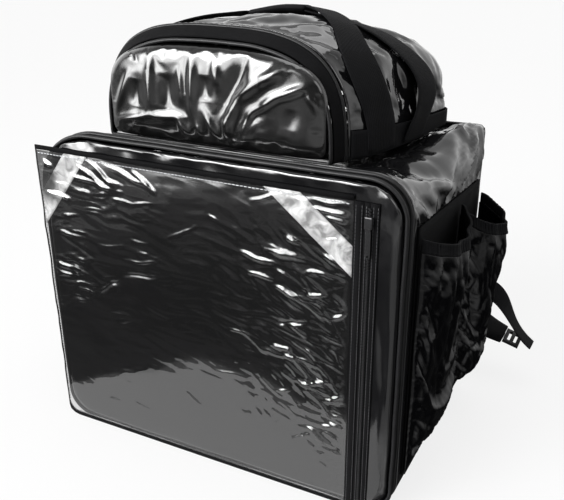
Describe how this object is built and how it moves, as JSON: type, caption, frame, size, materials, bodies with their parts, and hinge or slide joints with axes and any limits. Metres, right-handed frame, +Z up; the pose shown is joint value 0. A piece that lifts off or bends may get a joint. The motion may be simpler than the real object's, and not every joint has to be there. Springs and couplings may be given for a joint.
{
  "type": "food delivery bag",
  "caption": "Insulated vinyl delivery backpack with a smaller zipped bag on its lid, a clear front pocket, side bottle pockets and carrying straps.",
  "frame": {"origin": "middle of the flat base of the lower box, at floor level", "axes": "+Z up, -Y towards the clear front pocket, +Y towards the shoulder straps, +X towards the zip of the clear pocket"},
  "size_m": [0.6, 0.3764, 0.5058],
  "materials": {
    "gloss_vinyl": "glossy PVC-coated fabric",
    "pocket_vinyl": "slack satin PVC-coated fabric",
    "black_webbing": "woven polyester webbing",
    "black_fabric": "matte woven polyester",
    "black_piping": "satin PVC piping and zip coil",
    "clear_film": "clear soft PVC film",
    "silver_tape": "silver reflective tape",
    "black_zip_metal": "black painted zinc",
    "buckle_plastic": "moulded black nylon"
  },
  "bodies": {
    "root": {"lower_shell": "gloss_vinyl", "lower_front_panel": "gloss_vinyl", "door_piping": "black_piping", "door_zip_tape": "black_fabric", "gusset_piping": "black_piping", "lower_back_panel": "black_fabric", "back_piping": "black_piping", "side_panel_left": "black_fabric", "side_panel_right": "black_fabric", "bottle_pocket_front_left": "pocket_vinyl", "bottle_pocket_front_right": "pocket_vinyl", "bottle_pocket_rear_left": "pocket_vinyl", "bottle_pocket_rear_right": "pocket_vinyl", "hem_front_left": "black_webbing", "hem_front_right": "black_webbing", "hem_rear_left": "black_webbing", "hem_rear_right": "black_webbing", "window_film": "clear_film", "window_binding": "black_fabric", "reflective_strip_left": "silver_tape", "reflective_strip_right": "silver_tape", "window_edge_tape": "black_fabric", "window_zip_tape_inner": "black_fabric", "window_zip_tape_outer": "black_fabric", "window_zip_coil": "black_piping", "window_zip_slider": "black_zip_metal", "window_zip_pull": "black_zip_metal", "upper_shell": "gloss_vinyl", "upper_front_panel": "gloss_vinyl", "upper_door_piping": "black_piping", "upper_zip_band": "black_fabric", "upper_shell_piping": "black_piping", "base_belt": "black_webbing", "handle_strap_front_left": "black_webbing", "handle_strap_front_right": "black_webbing", "handle_strap_rear_left": "black_webbing", "handle_strap_rear_right": "black_webbing", "handle_grip": "black_webbing", "shoulder_strap_left": "black_fabric", "shoulder_strap_right": "black_fabric", "strap_buckle_left": "buckle_plastic", "strap_buckle_right": "buckle_plastic", "strap_webbing_left": "black_webbing", "strap_webbing_right": "black_webbing"}
  },
  "joints": []
}
